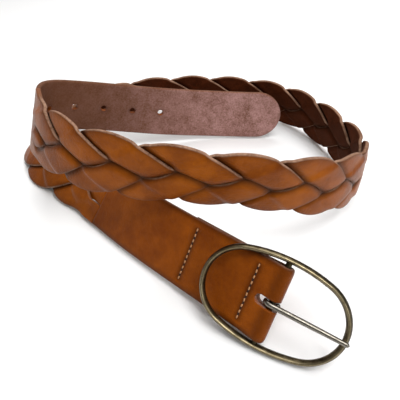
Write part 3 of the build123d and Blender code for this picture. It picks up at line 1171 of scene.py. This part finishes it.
# ---- the buckle
@dataclass
class Buckle:
    """An oval of half-ridged wire, the bar in its middle and the prong on the bar."""

    buckle_end: BuckleEnd
    wire_width: float = 3.5 * MM
    wire_depth: float = 5.2 * MM
    frame_length: float = 86 * MM
    end_squareness: float = 2.5 * MM
    side_clearance: float = 2 * MM
    rest_gap: float = 0.6 * MM
    prong_radius: float = 1.6 * MM
    prong_overhang: float = 0.4 * MM

    def oval_sizes(self) -> tuple[float, float, float]:
        """Half width of the wire's middle line, radius of its ends and how far out their centres are."""
        line_width = self.buckle_end.belt.width / 2 + self.side_clearance + self.wire_width / 2
        end_radius = line_width - self.end_squareness
        return line_width, end_radius, (self.frame_length - self.wire_width) / 2 - end_radius

    def oval(self, count: int = 288) -> tuple[Array, Array]:
        """The oval of the wire's middle, made of four arcs.

        Args:
            count: How many points.

        Returns:
            Points and outward normals in the oval's own plane.
        """
        line_width, end_radius, end_centre = self.oval_sizes()
        side_radius = (end_centre**2 + line_width**2 - end_radius**2) / (2 * (line_width - end_radius))
        side_centre = line_width - side_radius
        share = side_radius / (side_radius - end_radius)
        joint = math.atan2(side_centre * (1 - share), end_centre * share - end_centre)
        arcs = (
            ((end_centre, 0.0), end_radius, -joint, joint),
            ((0.0, side_centre), side_radius, joint, math.pi - joint),
            ((-end_centre, 0.0), end_radius, math.pi - joint, math.pi + joint),
            ((0.0, -side_centre), side_radius, math.pi + joint, 2 * math.pi - joint),
        )
        total = sum(radius * (last - first) for _, radius, first, last in arcs)
        points, normals = [], []
        for (x, y), radius, first, last in arcs:
            steps = max(int(round(count * radius * (last - first) / total)), 2)
            for turn in first + (last - first) * np.arange(steps) / steps:
                normal = (math.cos(turn), math.sin(turn))
                normals.append(normal)
                points.append((x + radius * normal[0], y + radius * normal[1]))
        return np.array(points), np.array(normals)

    def axes(self) -> tuple[Array, Array, Array, Array]:
        """The oval's middle, and unit vectors towards its tail end, the top edge and its face."""
        belt = self.buckle_end.belt
        bar, tailward, top, out = self.buckle_end.axes()
        _, end_radius, end_centre = self.oval_sizes()
        crossing = end_centre + math.sqrt(end_radius**2 - (belt.width / 2) ** 2)
        tilt = math.asin((belt.leather + self.wire_depth / 2 + self.rest_gap) / crossing)
        along = tailward * math.cos(tilt) + out * math.sin(tilt)
        return bar, along, top, np.cross(top, along)

    def build_frame(self, material: Material) -> None:
        """Makes the oval wire, ridged along its face, and dresses it."""
        middle, along, top, facing = self.axes()
        points, normals = self.oval()
        turns = np.linspace(0, 2 * math.pi, 29)[:-1]
        cosine, sine = np.cos(turns), np.sin(turns)
        power = np.where(sine > 0, 1.55, 2.1)
        radius = (np.abs(cosine) ** power + np.abs(sine) ** power) ** (-1 / power)
        wide = radius * cosine * self.wire_width / 2
        deep = radius * sine * self.wire_depth / 2
        radial = normals[:, :1] * along + normals[:, 1:] * top
        line = middle + points[:, :1] * along + points[:, 1:] * top
        rings = line[:, None] + wide[None, :, None] * radial[:, None] + deep[None, :, None] * facing
        rub = np.clip(sine, 0, 1) ** 5 * 0.75 + np.clip(-cosine, 0, 1) ** 3 * 0.15
        rub = np.broadcast_to(rub[None, :], rings.shape[:2])
        piece = mesh_from_rings("oval_wire_frame", rings, {Mask.SHADE: rub}, closed=True)
        dress(piece, material, "buckle", ("buckle_frame",))

    def build_prong(self, material: Material) -> None:
        """Makes the prong, a wire with an eye round the bar and a rounded, thinner tip."""
        belt = self.buckle_end.belt
        middle, along, top, facing = self.axes()
        free = along * -1
        eye = belt.bar_radius + belt.running_clearance + self.prong_radius
        rise = self.wire_depth / 2 + self.prong_radius + self.rest_gap
        reach = self.frame_length / 2 + self.prong_overhang
        turn = math.atan2(rise, reach) + math.acos(eye / math.hypot(rise, reach))
        foot = np.array([eye * math.cos(turn), eye * math.sin(turn)])
        tip = np.array([reach, rise])
        shank = tip + (foot - tip) * np.linspace(0, 1, 60)[:, None]
        angles = np.linspace(turn, turn + 1.5 * math.pi, 40)[1:]
        arc = np.stack([eye * np.cos(angles), eye * np.sin(angles)], 1)
        path = np.concatenate([shank, arc])
        run = run_along(path)
        tangent = unit(np.gradient(path, axis=0))
        normal = np.stack([-tangent[:, 1], tangent[:, 0]], 1)
        rounding = np.sqrt(np.clip(1 - (1 - np.minimum(run / self.prong_radius, 1)) ** 2, 0.02, 1))
        taper = 0.82 + 0.18 * smooth_step(run / (30 * MM))
        radius = self.prong_radius * rounding * taper
        turns = np.linspace(0, 2 * math.pi, 21)[:-1]
        line = middle + path[:, :1] * free + path[:, 1:] * facing
        thick = normal[:, :1] * free + normal[:, 1:] * facing
        rings = (line[:, None] + (radius[:, None] * np.cos(turns))[..., None] * thick[:, None]
                 + (radius[:, None] * np.sin(turns))[..., None] * top)
        rub = np.broadcast_to(0.45 + 0.35 * np.abs(np.cos(turns))[None, :], rings.shape[:2])
        piece = mesh_from_rings("wire_prong", rings, {Mask.SHADE: rub})
        dress(piece, material, "prong", ("prong",))

    def dress_bar(self, material: Material) -> None:
        """Gives the CAD bar its metal."""
        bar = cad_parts["centre_bar"]
        bar.data.materials.clear()
        bar.data.materials.append(material)


# ---- the studio
@dataclass
class Studio:
    """A pale floor, soft lights and the camera."""

    camera_place: tuple[float, float, float] = (0.0164, -0.2529, 0.2095)
    camera_drop: float = math.radians(39.94)
    lens: float = 36.5
    floor_reach: float = 3.0

    def build(self) -> None:
        """Sets the stage round the belt."""
        scene = bpy.context.scene
        far = self.floor_reach
        corners = [(-far, -far, 0), (far, -far, 0), (far, far, 0), (-far, far, 0)]
        floor = linked_mesh("floor", corners, [(0, 1, 2, 3)], {})
        floor.data.materials.append(PlainFinish("pale_floor", (0.92, 0.92, 0.92), 0.85).build())
        for name, place, aim, width, power in (
            ("key_light", (0.25, -0.30, 1.15), (0, -0.02, 0.03), 0.7, 11.0),
            ("fill_light", (0.60, -0.85, 0.60), (0, 0, 0.04), 0.8, 3.0),
            ("top_light", (0.1, 0.65, 1.0), (0, 0.05, 0.03), 0.9, 8.0),
        ):
            light = bpy.data.lights.new(name, "AREA")
            light.shape = "DISK"
            light.size = width
            light.energy = power
            lamp = bpy.data.objects.new(name, light)
            lamp.location = place
            lamp.rotation_euler = (Vector(aim) - Vector(place)).to_track_quat("-Z", "Y").to_euler()
            scene.collection.objects.link(lamp)
        world = bpy.data.worlds.new("studio")
        world.use_nodes = True
        sky = world.node_tree.nodes["Background"].inputs
        sky["Color"].default_value = (1.0, 0.98, 0.95, 1.0)
        sky["Strength"].default_value = 0.26
        scene.world = world
        camera = bpy.data.cameras.new("camera")
        camera.lens = self.lens
        camera.clip_start = 0.01
        eye = bpy.data.objects.new("camera", camera)
        eye.location = self.camera_place
        eye.rotation_euler = (math.pi / 2 - self.camera_drop, 0, 0)
        scene.collection.objects.link(eye)
        scene.camera = eye
        scene.view_settings.view_transform = "Standard"


def main() -> None:
    """Builds and dresses every piece, then sets the stage."""
    logging.basicConfig(level=logging.INFO, format="%(message)s")
    belt = Belt()
    route = Route(belt.width)
    finishes = make_finishes()
    braid = Braid(belt, route)
    for strand in range(3):
        braid.build_strand(strand, finishes.braid)
    buckle_end = BuckleEnd(belt, route)
    buckle_end.build(finishes.strap)
    Tail(belt, route).build(finishes.strap)
    for row in Row:
        SewnRow(row, buckle_end).build(finishes)
    buckle = Buckle(buckle_end)
    buckle.build_frame(finishes.brass)
    buckle.build_prong(finishes.steel)
    buckle.dress_bar(finishes.brass)
    Studio().build()


if __name__ == "__main__":
    main()
